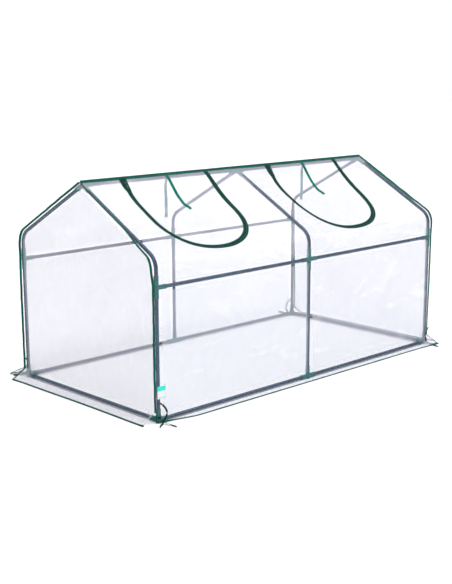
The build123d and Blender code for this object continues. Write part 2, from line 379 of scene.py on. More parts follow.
def roof_frame(x, s, lift=0.0):
    """Points lifted off the front roof film, and its unit normals, by small differences."""
    x, s = np.asarray(x, float), np.asarray(s, float)
    reach = 4.0
    along = cover_surface(x + reach, s, -1) - cover_surface(x - reach, s, -1)
    down = cover_surface(x, s + reach, -1) - cover_surface(x, np.maximum(s - reach, 0), -1)
    normal = unit(np.cross(down, along))
    normal = normal * np.sign(normal[..., 2:3])
    return cover_surface(x, s, -1) + normal * np.asarray(lift, float)[..., None], normal


def seam_wrap(s, end, side):
    """How far round the end tube the seam lies, along the film from the tube's outer face."""
    if end < 0 and side < 0:
        knots = [0, 300, SLOPE_END, ARC_END - 20, ARC_END + 70]
        return blend_curve(s, knots, [9.5, 12.0, 25.0, 30.0, QUARTER + 0.5])
    return blend_curve(s, [0, SLOPE_END, ARC_END + 60, SKIRT_S], [9.0, 9.5, 14.0, QUARTER])


def seam_stand(s, end, side):
    """How far the clear films reach out from the tube before the binding starts."""
    knots = [0, SLOPE_END - 60, ARC_END, ARC_END + 160, SKIRT_S]
    if side < 0:
        reach = [0.5, 0.5, 0.5, 0.5, 0.5] if end < 0 else [0.5, 1.0, 3.5, 5.0, 5.0]
    else:
        reach = [4.0, 3.0, 0.5, 3.0, 5.0] if end < 0 else [4.0, 4.0, 4.0, 4.0, 5.0]
    return blend_curve(s, knots, reach)


def seam_lap(s, end, side):
    """How far the binding laps back over the film, towards the tube and past it."""
    reach = [8.0, 6.0, 1.5] if end > 0 > side else [1.5, 1.5, 1.5]
    return blend_curve(s, [0, SLOPE_END - 200, SLOPE_END], reach)


def seam_frame(s, end, side):
    """Foot of the seam on the film, the way it stands out and the normal of its flat."""
    wrap = seam_wrap(s, end, side)
    foot = wrap_point(end, wrap, s, side, end_wrinkle(s, 1.0, 31 + side))
    _, _, n_out, n_up = profile(s)
    theta = np.clip(wrap, 0, QUARTER) / GAP
    lean = 0.6 * theta + 0.4 * math.pi / 2 + 0.06 * ripple(s, 0 * s, 91 + side + end, 240)
    outward = np.stack([end * np.sin(lean), side * np.cos(lean) * n_out, np.cos(lean) * n_up], axis=1)
    tangent = tangents(foot)
    outward = squared(outward, tangent)
    return foot, outward, np.cross(tangent, outward)


def end_wrinkle(s, share, seed):
    """Puckers of the film where it is drawn round an end tube."""
    return share * (0.4 * ripple(s, 40 * share, seed, 60) + 0.25 * ripple(s, 0 * s, seed + 1, 22))


def wrap_point(end, a, s, side, lift=0.0):
    """Point of the film round an end tube, a millimetres along it from the tube's outer face."""
    out, up, n_out, n_up = profile(s)
    theta = np.clip(a, 0, QUARTER) / GAP
    radius = GAP + lift
    along_n = radius * np.cos(theta) - np.clip(a - QUARTER, 0, None) - GAP
    x = end * (ARCH_X + radius * np.sin(theta))
    y = side * (out + along_n * n_out)
    z = up + along_n * n_up
    return np.stack(np.broadcast_arrays(x, y, z), axis=-1)


# Hem lines on the ground. Two opposite corners are flared, the other two drawn in.
def long_hem(x, side):
    """Hem of the front or back skirt below the column x."""
    flare_end = 1 if side < 0 else -1
    x = np.asarray(x, float)
    u = x * flare_end
    tip = 517.0 if side < 0 else 553.0
    y = blend_curve(u, [-903, -870, -700, 500, 780, 905], [466, 478, 507, 508, 508, tip])
    slip = 30.0 * smooth((u - 780) / 125) - 6.0 * smooth((-u - 860) / 40)
    return np.stack([x + flare_end * slip, side * y, np.full(x.shape, HEM_Z)], axis=-1)


def gable_hem(y, end):
    """Hem of a gable's skirt beside the row y."""
    y = np.asarray(y, float)
    wave = 2.0 * np.sin(y / 130.0 + end)
    x = end * (971.0 + wave + 6.0 * smooth((-end * y - 380) / 90))
    tuck = 1 + 0.012 * smooth((-end * y - 380) / 90)
    return np.stack([x, y * tuck, np.full(y.shape, HEM_Z)], axis=-1)


def skirt_rows(top, hem, weight, count=9):
    """Rows of a skirt: down the wall, round the fold on the ground and out to the hem."""
    fold = top.copy()
    fold[:, 2] = 0.9
    rows = []
    for t in np.linspace(0, 1, count + 1)[1:]:
        share = np.stack([(1 - t) ** 2 + 0 * weight, 2 * weight * t * (1 - t), t * t + 0 * weight])
        share = share / share.sum(axis=0)
        rows.append(share[0][:, None] * top + share[1][:, None] * fold + share[2][:, None] * hem)
    return rows


# ------------------------------------------------------------------ materials
class Nodes:
    """Nodes of a material or the world: add() makes and sets one, set() sets the shader's."""

    def __init__(self, owner, shader="Principled BSDF"):
        owner.use_nodes = True
        self.material = owner
        self.tree = owner.node_tree
        self.shader = self.tree.nodes[shader]

    def add(self, kind, **values):
        node = self.tree.nodes.new("ShaderNode" + kind)
        for key, value in values.items():
            if hasattr(node, key):
                setattr(node, key, value)
            else:
                self.plug(node, key.replace("_", " "), value)
        return node

    def plug(self, node, socket, value):
        target = node.inputs[int(socket)] if socket.isdigit() else node.inputs[socket]
        if isinstance(value, bpy.types.NodeSocket):
            self.tree.links.new(value, target)
        else:
            target.default_value = value

    def set(self, **values):
        for key, value in values.items():
            self.plug(self.shader, key.replace("_", " "), value)

    def coords(self, scale=(1, 1, 1), kind="Object"):
        """Texture coordinates in metres times scale."""
        source = self.add("TexCoord")
        return self.add("Mapping", Vector=source.outputs[kind], Scale=scale).outputs[0]

    def noise(self, vector, scale, detail=4.0, rough=0.55, distortion=0.0):
        node = self.add("TexNoise", Vector=vector, Scale=scale, Detail=detail)
        self.plug(node, "Roughness", rough)
        self.plug(node, "Distortion", distortion)
        return node.outputs[0]

    def remap(self, value, low, high, out_low, out_high):
        node = self.add("MapRange")
        sockets = ("Value", "From Min", "From Max", "To Min", "To Max")
        for socket, number in zip(sockets, (value, low, high, out_low, out_high)):
            self.plug(node, socket, number)
        return node.outputs[0]

    def ramp(self, value, stops):
        node = self.add("ValToRGB")
        self.plug(node, "Fac", value)
        elements = node.color_ramp.elements
        while len(elements) < len(stops):
            elements.new(0.5)
        for element, (place, colour) in zip(elements, stops):
            element.position = place
            element.color = (*colour, 1)
        return node.outputs[0]

    def math(self, operation, a, b=0.5):
        node = self.add("Math", operation=operation)
        self.plug(node, "0", a)
        self.plug(node, "1", b)
        return node.outputs[0]

    def near(self, value, target, reach):
        """1 where value is within reach of target."""
        found = self.math("COMPARE", value, target)
        self.plug(found.node, "2", reach)
        return found

    def bump(self, height, strength, distance):
        return self.add("Bump", Strength=strength, Distance=distance, Height=height).outputs[0]


def new_material(name):
    """Nodes of a new material."""
    return Nodes(bpy.data.materials.new(name))


def film_material(name, veil, tint, painted_gleam):
    """Clear flexible film: hazy where it hangs free, clear where it lies against a tube, with painted sheen
    streaks that are whiter and less clear.
    """
    m = new_material(name)
    place = m.coords()
    cloud = m.noise(place, 2.6, 5, 0.6, 0.4)
    # stretched noise for painted sheen streaks: stripes of painted highlight along the film
    painted_sheen_streak = m.noise(m.coords((2.5, 9, 5)), 1.0, 4, 0.5, 1.2)
    clouded = m.remap(cloud, 0.3, 0.7, veil * 0.85, veil * 1.15)
    # the haze is the film's own veil plus the painted sheen streaks, which make it less clear
    haze = m.math("ADD", clouded, m.remap(painted_sheen_streak, 0.56, 0.76, 0.0, painted_gleam))
    free = m.add("Attribute", attribute_name="haze").outputs["Fac"]
    wrinkle = m.noise(m.coords((1, 1.4, 1.2)), 5.0, 3, 0.45, 1.0)
    # painted highlight: the tint turns to near white in the sheen streaks
    painted_highlight = m.remap(painted_sheen_streak, 0.56, 0.76, 0.0, 6 * painted_gleam)
    tint_and_painted_highlight = m.add("MixRGB", Fac=painted_highlight, Color1=(*tint, 1), Color2=(0.98, 0.98, 1.0, 1))
    m.set(Base_Color=tint_and_painted_highlight.outputs[0], Roughness=m.remap(cloud, 0.3, 0.7, 0.18, 0.28), IOR=1.4)
    m.set(Alpha=m.math("MULTIPLY", haze, free), Normal=m.bump(wrinkle, 0.14, 0.005))
    m.material.surface_render_method = "BLENDED"
    return m.material


def coated_steel():
    """Blue-grey powder coat: fine orange peel, uneven tone and faint rub marks along the tube."""
    m = new_material("coated_steel_finish")
    place = m.coords()
    peel = m.noise(place, 900.0, 2, 0.5)
    patch = m.noise(place, 14.0, 4, 0.6)
    rub = m.noise(m.coords((60, 60, 6)), 1.0, 5, 0.65, 0.5)
    colour = m.ramp(patch, [(0.25, (0.008, 0.034, 0.075)), (0.75, (0.018, 0.058, 0.118))])
    bare = m.remap(rub, 0.66, 0.8, 0.0, 0.5)
    worn = m.add("MixRGB", Fac=bare, Color1=colour, Color2=(0.09, 0.15, 0.21, 1))
    m.set(Base_Color=worn.outputs[0], Metallic=0.1, Roughness=m.remap(rub, 0.3, 0.8, 0.22, 0.36))
    m.set(Specular_IOR_Level=0.25, Coat_Weight=0.4, Coat_Roughness=0.12, Normal=m.bump(peel, 0.12, 0.0003))
    return m.material


def connector_plastic():
    """Moulded teal plastic: satin, lightly mottled, paler where it is scuffed."""
    m = new_material("connector_plastic_finish")
    place = m.coords()
    grain = m.noise(place, 1400.0, 2, 0.5)
    flow = m.noise(m.coords((30, 30, 12)), 1.0, 4, 0.6, 0.8)
    colour = m.ramp(flow, [(0.3, (0.0, 0.080, 0.085)), (0.75, (0.004, 0.165, 0.160))])
    scuff = m.remap(m.noise(place, 90.0, 5, 0.7), 0.66, 0.78, 0.0, 0.35)
    mixed = m.add("MixRGB", Fac=scuff, Color1=colour, Color2=(0.12, 0.30, 0.32, 1))
    m.set(Base_Color=mixed.outputs[0], Roughness=m.remap(flow, 0.3, 0.7, 0.36, 0.5))
    m.set(Specular_IOR_Level=0.3, Normal=m.bump(grain, 0.15, 0.0002))
    return m.material


def woven(name, dark, light, warp=1.0, stitch=0.0, sheen=0.06):
    """Woven tape: crossing threads with painted shade between them, uneven dye and, where stitch is given, a
    line of stitches.
    """
    m = new_material(name)
    place = m.coords(kind="UV")
    split = m.add("SeparateXYZ", Vector=place)
    u, v = split.outputs[0], split.outputs[1]
    pitch = 2 * math.pi / (0.0011 * warp)  # threads are 1.1 mm apart
    along = m.math("SINE", m.math("MULTIPLY", u, pitch))
    over = m.math("SINE", m.math("MULTIPLY", v, pitch))
    weave = m.math("MULTIPLY", along, over)
    dye = m.noise(m.coords(), 55.0, 4, 0.6)
    # uneven dye, plus painted shade and light: darker where the threads dip, lighter on their tops
    dye_and_weave_shade = m.math("ADD", m.remap(dye, 0.3, 0.7, 0.15, 0.75), m.remap(weave, -1, 1, -0.18, 0.18))
    colour = m.ramp(dye_and_weave_shade, [(0.1, dark), (0.9, light)])
    height = weave
    if stitch:
        beat = m.math("SINE", m.math("MULTIPLY", u, 2 * math.pi / 0.0045))
        row = m.near(v, stitch, 0.0006)
        sewn = m.math("MULTIPLY", row, m.math("GREATER_THAN", beat, -0.3))
        share = m.math("MULTIPLY", sewn, 0.6)
        pale = m.add("MixRGB", Fac=share, Color1=colour, Color2=(0.10, 0.36, 0.28, 1))
        colour = pale.outputs[0]
        height = m.math("ADD", weave, m.math("MULTIPLY", sewn, 2.0))
    m.set(Base_Color=colour, Roughness=0.85, Sheen_Weight=sheen, Sheen_Roughness=0.5, Specular_IOR_Level=0.18)
    m.set(Normal=m.bump(height, 0.5, 0.0003))
    return m.material


def label_material():
    """Printed label: white with a cyan band at its top and thin rules, and no lettering."""
    m = new_material("label_print")
    split = m.add("SeparateXYZ", Vector=m.coords(kind="UV"))
    up = split.outputs[1]
    band = m.math("GREATER_THAN", up, 0.0325)
    rule = m.near(up, 0.0062, 0.0011)
    grey = m.math("MULTIPLY", m.near(up, 0.0195, 0.0007), 0.6)
    dust = m.noise(m.coords(), 160.0, 4, 0.6)
    base = m.ramp(dust, [(0.2, (0.80, 0.86, 0.87)), (0.8, (0.93, 0.96, 0.96))])
    cyan = (0.0, 0.78, 0.66, 1)
    first = m.add("MixRGB", Fac=m.math("MAXIMUM", band, rule), Color1=base, Color2=cyan)
    second = m.add("MixRGB", Fac=grey, Color1=first.outputs[0], Color2=(0.35, 0.42, 0.45, 1))
    m.set(Base_Color=second.outputs[0], Roughness=0.32, Coat_Weight=0.3, Normal=m.bump(dust, 0.05, 0.0005))
    return m.material


def painted_zinc():
    """Painted die-cast slider: dark green enamel, bright where the paint has rubbed."""
    m = new_material("painted_zinc")
    place = m.coords()
    rub = m.remap(m.noise(place, 420.0, 5, 0.7), 0.58, 0.72, 0.0, 0.8)
    colour = m.add("MixRGB", Fac=rub, Color1=(0.010, 0.075, 0.055, 1), Color2=(0.30, 0.40, 0.38, 1))
    m.set(Base_Color=colour.outputs[0], Metallic=0.6, Roughness=m.remap(rub, 0, 1, 0.3, 0.45))
    m.set(Normal=m.bump(m.noise(place, 1500.0, 2), 0.2, 0.0002), Coat_Weight=0.4)
    return m.material


# the last number is the strength of the painted sheen streaks
FILM = film_material("clear_film_long", 0.37, (0.74, 0.75, 0.87), 0.12)
# the gable film is a darker, greyer copy of the long film: painted shade on the end walls
SHADED_GABLE_FILM = film_material("clear_film_gable", 0.38, (0.71, 0.70, 0.79), 0.02)
BINDING = woven("binding_weave", (0.000, 0.065, 0.044), (0.000, 0.140, 0.094), stitch=0.0065, sheen=0.03)
HEM = woven("hem_weave", (0.000, 0.055, 0.040), (0.000, 0.110, 0.080), stitch=0.0055, sheen=0.03)
ZIP = woven("zip_weave", (0.000, 0.026, 0.018), (0.000, 0.054, 0.038), stitch=0.003, sheen=0.02)
TIE = woven("tie_weave", (0.000, 0.120, 0.080), (0.002, 0.230, 0.155), warp=1.4)
RIBBON = woven("ribbon_weave", (0.000, 0.014, 0.011), (0.001, 0.036, 0.028), warp=1.2)
LABEL = label_material()
ZINC = painted_zinc()


def dress_frame(finishes):
    """Tubes and connectors keep their CAD shape and get a finish each."""
    for part in frame["record"]["subparts"]:
        if part["material_slot"] in finishes:
            for slot in frame["nodes"][part["node"]].material_slots:
                slot.material = finishes[part["material_slot"]]


dress_frame({"coated_steel": coated_steel(), "connector_plastic": connector_plastic()})


def place_piece(obj, body, slot, *nodes):
    """The facts that every piece needs: its body and the nodes it stands for; slot, its finish, is not used.
    """
    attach(obj, body)
    if nodes:
        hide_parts(*nodes)
    return obj


# ------------------------------------------------------------------ corner ribbons
RIBBON_WIDTH = 8.0
RIBBON_DROP = [(-899, -478, 88), (-874, -482, 68), (-866, -486, 36), (-888, -483, 8)]
KNOT = (-888, -483, 9.5)
RIBBON_TAILS = [
    [(-888, -483, 8), (-905, -499, 5.5), (-921, -505, 4.8), (-936, -519, 4.5)],
    [(-888, -483, 8), (-882, -507, 5.5), (-885, -531, 4.8), (-880, -556, 4.5)],
]


def nurbs_line(points):
    """Points in millimetres along the smooth line that a cord's control points give."""
    curve = bpy.data.curves.new("route", "CURVE")
    curve.dimensions = "3D"
    curve.resolution_u = 10
    spline = curve.splines.new("NURBS")
    spline.points.add(len(points) - 1)
    for spot, p in zip(spline.points, points):
        spot.co = (*[c * MM for c in p], 1)
    spline.order_u = 3
    spline.use_endpoint_u = True
    holder = bpy.data.objects.new("route", curve)
    mesh = bpy.data.meshes.new_from_object(holder)
    line = np.array([v.co[:] for v in mesh.vertices]) / MM
    bpy.data.objects.remove(holder)
    bpy.data.meshes.remove(mesh)
    bpy.data.curves.remove(curve)
    return line


def ribbon_rings(line, twist, seed):
    """Rings of a limp flat ribbon that turns as it goes and ends on its edge."""
    tangent = tangents(line)
    t = np.linspace(0, 1, len(line))
    up = unit(np.array([0.0, 0.0, 1.0]) - tangent * tangent[:, 2:3] + 1e-6)
    side = np.cross(tangent, up)
    angle = twist + (1.15 - twist) * smooth(t / 0.8) + 0.15 * np.sin(9 * t + seed)
    across = np.cos(angle)[:, None] * side + np.sin(angle)[:, None] * up
    normal = np.cross(across, tangent)
    half = RIBBON_WIDTH / 2 * (1 - 0.25 * np.exp(-((t / 0.08) ** 2)))
    return strip_rings(line, across, normal, -half, half, 0.8, 4)


def corner_ribbons(name, mirror):
    """Two tails and the knot of one corner's ribbon, tied round the foot of the post."""
    flip = np.array([mirror[0], mirror[1], 1])
    first = nurbs_line(RIBBON_DROP + RIBBON_TAILS[0][1:]) * flip
    second = nurbs_line(RIBBON_TAILS[1]) * flip
    knot = Solid()
    centre = np.array(KNOT) * flip
    for tilt, size in ((0.2, 5.2), (1.3, 4.6), (2.3, 5.0)):
        turn = np.linspace(0, 2 * math.pi, 25)
        c, s = np.cos(turn) * size, np.sin(turn) * size
        ring = np.stack([c, s * math.cos(tilt), s * math.sin(tilt)], axis=1)
        axis = (0, -math.sin(tilt), math.cos(tilt))
        knot.tape(centre + ring, axis, unit(ring), -2.6, 2.6, 1.6, cells=4)
    wrap = np.linspace(0, 2 * math.pi, 49)
    hub = np.array([-ARCH_X, -POST_Y]) * flip[:2]
    lift = 26 + 3.0 * np.sin(wrap + 0.6)
    ring = np.stack([hub[0] + 11.4 * np.cos(wrap), hub[1] + 11.4 * np.sin(wrap), lift], axis=1)
    out = np.stack([np.cos(wrap), np.sin(wrap), 0 * wrap], axis=1)
    knot.tape(ring, (0, 0, 1), out, -5, 5, 1.0, cells=4, cap=False)
    tied = place_piece(knot.make(name + "_knot", RIBBON), COVER, "ribbon", "corner_ties")
    for tail, (line, twist) in enumerate(((first, 1.3), (second, 0.5))):
        solid = Solid()
        solid.loft(ribbon_rings(line, twist, tail))
        piece = solid.make(f"{name}_tail_{tail + 1}", RIBBON)
        place_piece(piece, COVER, "ribbon", "corner_ties")


for corner, flips in {
    "front_left_ribbon": (1, 1),
    "front_right_ribbon": (-1, 1),
    "back_left_ribbon": (1, -1),
    "back_right_ribbon": (-1, -1),
}.items():
    corner_ribbons(corner, flips)


# ------------------------------------------------------------------ door ties
def tie_piece(name, line, across, normal, body, node):
    """One woven tie tape along a line of points."""
    solid = Solid()
    solid.tape(line, across, normal, -TIE_HALF, TIE_HALF, 1.0)
    piece = place_piece(solid.make(name, TIE), body, "tie_tape", node)


def outer_tie(bay, end):
    """Tie tape that lies down the outside of the door, its end curled over."""
    s = np.linspace(*OUTER_TIE_ENDS, 56)
    end_turn = smooth((s - 150) / 56)
    x = end * TIE_X + 2.0 * np.sin(s / 40.0) + 12 * end_turn**2
    lift = 3.5 + 0.8 * np.sin(s / 17.0) ** 2
    line, normal = roof_frame(x, s, lift)
    tangent = tangents(line)
    across = unit(np.cross(tangent, normal))
    roll = (0.12 + 0.22 * smooth(s / 60))[:, None] * np.sign(across[:, :1])
    across, normal = (
        np.cos(roll) * across + np.sin(roll) * normal,
        np.cos(roll) * normal - np.sin(roll) * across,
    )
    tie_piece(f"{bay}_outer_tie_tape", line, across, normal, f"{bay}_outside_tie", f"{bay}_outer_tie")


def inner_tie(bay, end):
    """Tie tape that hangs inside from the ridge, with a slow twist."""
    t = np.linspace(0, 1, 48)
    top_x, top_y, top_z = INNER_TIE_TOP
    x = end * top_x - 6.0 * smooth(t / 0.2) + 1.5 * np.sin(4.0 * t + end) * t
    y = top_y - 2.0 * np.sin(3.0 * t) * t
    z = top_z - INNER_TIE_DROP * t
    line = np.stack([x, y, z], axis=1)
    tangent = tangents(line)
    turn = -0.62 * smooth(t / 0.25) + 0.12 * np.sin(5 * t)
    across = np.stack([np.cos(turn), np.sin(turn), 0 * t], axis=1)
    across = squared(across, tangent)
    normal = np.cross(tangent, across)
    tie_piece(f"{bay}_inner_tie_tape", line, across, normal, f"{bay}_inside_tie", f"{bay}_inner_tie")


for bay, end in BAYS.items():
    outer_tie(bay, end)
    inner_tie(bay, end)


# ------------------------------------------------------------------ film sheets
def tube_lines():
    """Points along the centre lines of the tubes that the films lie against."""
    out, up, n_out, n_up = profile(np.arange(0.0, ARC_END + WALL_TOP, 6.0))
    lines = []
    for x in (-ARCH_X, 0.0, ARCH_X):
        for side in (-1, 1):
            lines.append(np.stack([0 * out + x, side * (out - GAP * n_out), up - GAP * n_up], axis=1))
    along = np.arange(-ARCH_X, ARCH_X, 6.0)
    across = np.arange(-POST_Y, POST_Y, 6.0)
    for y, z in ((0.0, RIDGE_Z), (-POST_Y, MID_Z), (POST_Y, MID_Z), (-POST_Y, 12.0), (POST_Y, 12.0)):
        lines.append(np.stack([along, 0 * along + y, 0 * along + z], axis=1))
    for x in (-ARCH_X, ARCH_X):
        lines.append(np.stack([0 * across + x, across, 0 * across + 12.0], axis=1))
    return np.concatenate(lines)


TUBES = tube_lines()
NEAREST = KDTree(len(TUBES))
for index, spot in enumerate(TUBES):
    NEAREST.insert(spot, index)
NEAREST.balance()


def film_object(name, points, faces, uvs, material):
    """A film sheet that knows, for its haze, how far it is from the nearest tube."""
    film = new_object(name, points, faces, uvs, material)
    points = np.asarray(points, float)
    far = np.array([NEAREST.find(p)[2] for p in points])
    near_ridge = 0.95 * smooth((points[:, 2] - RIDGE_HAZE_Z) / 10)
    free = 0.16 + 0.84 * smooth((far - FILM_LIES) / HAZE_RUN)
    haze = film.data.attributes.new("haze", "FLOAT", "POINT")
    haze.data.foreach_set("value", np.maximum(free, near_ridge))
    return film


def grid_film(name, grid, material):
    """A film sheet with nothing cut out of it."""
    faces = grid_faces(*grid.shape[:2])
    return film_object(name, grid.reshape(-1, 3), faces, grid_uvs(grid), material)


# ------------------------------------------------------------------ doors
def foot_curve(turn):
    """Across and down positions on a door's rounded end, turn from 0 (right leg) to pi."""
    power = 2 / DOOR_ROUND
    c, s = np.cos(turn), np.sin(turn)
    across = DOOR_HALF * np.sign(c) * np.abs(c) ** power
    return across, LEG_END + (DOOR_FOOT - LEG_END) * np.abs(s) ** power


def points_at(points, run, even):
    """Points between those of a flat line whose distances are run, at the distances even."""
    return np.stack([np.interp(even, run, column) for column in points.T], axis=1)


def zip_line(start_left, start_right):
    """The zip's line on the roof: across and down, with its outward direction."""
    down = np.arange(start_left, LEG_END, 4.0)
    left = np.stack([np.full(down.shape, -DOOR_HALF), down], axis=1)
    turn = np.linspace(math.pi, 0, 400)
    foot = np.stack(foot_curve(turn), axis=1)
    up = np.arange(start_right, LEG_END, 4.0)[::-1]
    right = np.stack([np.full(up.shape, DOOR_HALF), up], axis=1)
    rough = np.concatenate([left, foot, right])
    gaps = np.linalg.norm(np.diff(rough, axis=0), axis=1)
    rough = rough[np.concatenate([[True], gaps > 1e-6])]
    run = distances(rough)
    line = points_at(rough, run, np.linspace(0, run[-1], int(run[-1] / 5.0)))
    line[:, 0] -= DOOR_LEAN * line[:, 1] / DOOR_FOOT
    tangent = tangents(line)
    outward = np.stack([-tangent[:, 1], tangent[:, 0]], axis=1)
    return line, outward


def half_width(s):
    """Half the door's width at a distance down the slope."""
    low = np.clip((np.asarray(s, float) - LEG_END) / (DOOR_FOOT - LEG_END), 0, 1)
    return DOOR_HALF * (1 - low**DOOR_ROUND) ** (1 / DOOR_ROUND)


def zip_half(solid, x0, line, outward, low, high):
    """One tape of the zip, from low to high beyond the zip's line."""
    place, normal = roof_frame(x0 + line[:, 0], line[:, 1], 1.0)
    ahead = roof_frame(x0 + line[:, 0] + outward[:, 0], line[:, 1] + outward[:, 1], 1.0)[0]
    across = unit(ahead - place)
    solid.tape(place, across, normal, low, high, 1.0)


def zip_coil(solid, x0, line, outward, offset):
    """The interlocking coil of one side: a fine bead with a turn every 2.5 millimetres."""
    run = distances(line)
    even = np.arange(0, run[-1], 1.25)
    fine = points_at(line + offset * outward, run, even)
    place = roof_frame(x0 + fine[:, 0], fine[:, 1], 1.9)[0]
    beat = np.where(np.arange(len(even)) % 2 == 0, 1.15, 0.75)
    solid.loft(tube_rings(place, beat, 6))


def door(bay, end):
    """Door film and its half of the zip, both as they lie when the door is shut."""
    x0 = end * DOOR_X
    foot = DOOR_FOOT - 0.8
    closing = np.sin(np.linspace(0, math.pi / 2, 34)[1:])
    s = np.concatenate([np.linspace(1.5, LEG_END, 34), LEG_END + (foot - LEG_END) * closing])
    width = half_width(s) - 1.0
    t = np.linspace(-1, 1, 58)
    x = x0 - DOOR_LEAN * s[:, None] / DOOR_FOOT + width[:, None] * t[None, :]
    grid = cover_surface(x, s[:, None] + 0 * x, -1)
    film = grid_film(f"{bay}_door_sheet", grid, FILM)
    place_piece(film, COVER, "clear_film", f"{bay}_door_film")
    line, outward = zip_line(PARK_FOOT + 6, ZIP_START)
    tape = Solid()
    zip_half(tape, x0, line, outward, -ZIP_TAPE, -0.6)
    zip_coil(tape, x0, line, outward, -0.9)
    band = tape.make(f"{bay}_door_zip_band", ZIP)
    place_piece(band, COVER, "zip_tape", f"{bay}_door_zip_tape")
    return film, band


def cover_zip(bay, end):
    """The cover's half of the zip and its widened end at the top of the left leg."""
    x0 = end * DOOR_X
    line, outward = zip_line(ZIP_START + 30, ZIP_START)
    tape = Solid()
    zip_half(tape, x0, line, outward, 0.6, ZIP_TAPE)
    zip_coil(tape, x0, line, outward, 0.9)
    s = np.linspace(ZIP_START - 4, PARK_FOOT + 22, 26)
    taper = smooth((s - 26) / 58)
    left = -12 - 14 * (1 - taper)
    right = 11.5 - 11.0 * smooth((s - PARK_FOOT) / 20)
    place, normal = roof_frame(x0 - DOOR_HALF + 0 * s, s, 1.9)
    across = unit(roof_frame(x0 - DOOR_HALF + 1 + 0 * s, s, 1.9)[0] - place)
    tape.tape(place, across, normal, left, right, 1.2, cells=8)
    band = tape.make(f"{bay}_cover_zip_band", ZIP)
    place_piece(band, COVER, "zip_tape", "cover_zip_tapes")


def block(solid, frame_at, outline, low, high, steps=3):
    """Rounded block on the roof: an outline of (across, down) points raised from low to high."""
    rings = []
    outline = np.asarray(outline, float)
    centre = outline.mean(axis=0)
    heights = [low, low, *np.linspace(low + 0.3, high - 0.7, steps), high - 0.2, high]
    shrink = [0.86, 0.97, *[1.0] * steps, 0.93, 0.78]
    place, across, down, normal = frame_at
    for height, share in zip(heights, shrink):
        flat = centre + (outline - centre) * share
        rings.append(place + flat[:, :1] * across + flat[:, 1:] * down + height * normal)
    solid.loft(rings)


def rounded(width, length, radius, cells=5, waist=0.0):
    """Outline of a rounded rectangle, drawn in by waist half way along."""
    points = []
    for k, (sx, sy) in enumerate(((1, 1), (-1, 1), (-1, -1), (1, -1))):
        for a in np.linspace(0, math.pi / 2, cells):
            turn = a + k * math.pi / 2
            x = sx * (width / 2 - radius) + radius * math.cos(turn)
            points.append((x, sy * (length / 2 - radius) + radius * math.sin(turn)))
    points = np.array(points)
    points[:, 0] *= 1 - waist * np.cos(points[:, 1] / length * math.pi) ** 2
    return points


def slider(bay, end):
    """Zip slider with its bridge, and the pull tab hanging from it."""
    x = end * SLIDER_BAY - SLIDER_LEG
    (place, below), (normal, _) = roof_frame(x, np.array([SLIDER_V, SLIDER_V + 1]), 1.6)
    down = unit(below - place)
    across = np.cross(down, normal)
    across = across * np.sign(across[0])
    at = (place, across, down, normal)
    body = Solid()
    block(body, at, rounded(9.8, 14.5, 2.5, waist=0.12), 0.0, 1.5)
    block(body, at, rounded(8.6, 13.0, 2.4, waist=0.18), 2.0, 3.6)
    post = rounded(2.4, 3.0, 1.0) + [0, -4.2]
    block(body, at, post, 1.2, 2.4)
    t = np.linspace(0, 1, 15)
    rise = 3.2 + 2.2 * np.sin(math.pi * t) ** 0.7
    arch = place + ((t - 0.5) * 10.5)[:, None] * down + rise[:, None] * normal
    face = unit(np.cross(np.gradient(arch, axis=0), across))
    body.tape(arch, across, face, -1.3, 1.3, 1.1, cells=4)
    made = body.make(f"{bay}_slider_body", ZINC)
    place_piece(made, f"{bay}_slider", "zip_metal", f"{bay}_zip_slider")
    tab = Solid()
    hinge = place + 8.2 * down + 1.6 * normal
    t = np.linspace(0, 1, 20)
    spine = hinge + (t * 22.0)[:, None] * down + (0.5 * np.sin(math.pi * t))[:, None] * normal
    half = 1.6 + 1.4 * smooth(t / 0.3) - 1.2 * smooth((t - 0.86) / 0.14)
    tab.tape(spine, across, normal, -half, half, 1.3)
    turn = np.linspace(0, 2 * math.pi, 25)
    eye = 1.9 * np.cos(turn)[:, None] * down + 2.3 * np.sin(turn)[:, None] * across
    ring = hinge + 3.0 * down + eye + 0.8 * normal
    tab.loft(tube_rings(ring, 0.45, 6), cap=False)
    for k in range(4):
        rib = hinge + (11.0 + 2.4 * k) * down + 0.9 * normal
        bar = np.stack([rib + reach * across for reach in (-2.0, -0.7, 0.7, 2.0)])
        tab.loft(tube_rings(bar, 0.5, 6))
    place_piece(tab.make(f"{bay}_pull_tab", ZINC), f"{bay}_pull", "zip_metal", f"{bay}_zip_pull")


LIFTED = {}  # each door's film and zip band
for bay, end in BAYS.items():
    LIFTED[bay] = door(bay, end)
    cover_zip(bay, end)
    slider(bay, end)


# ------------------------------------------------------------------ films
def film_columns():
    """Columns of a long film: round the left end tube, along the bays, round the right one."""
    x = np.arange(-ARCH_X, ARCH_X + 1, ARCH_X / round(ARCH_X / STEP))
    round_ = [0.25, 0.5, 0.75, 1.0, 2.0]  # 2 is the edge that stands out at the seam
    columns = [(-1, share) for share in round_[::-1]]
    columns += [(0, value) for value in x]
    columns += [(1, share) for share in round_]
    return columns


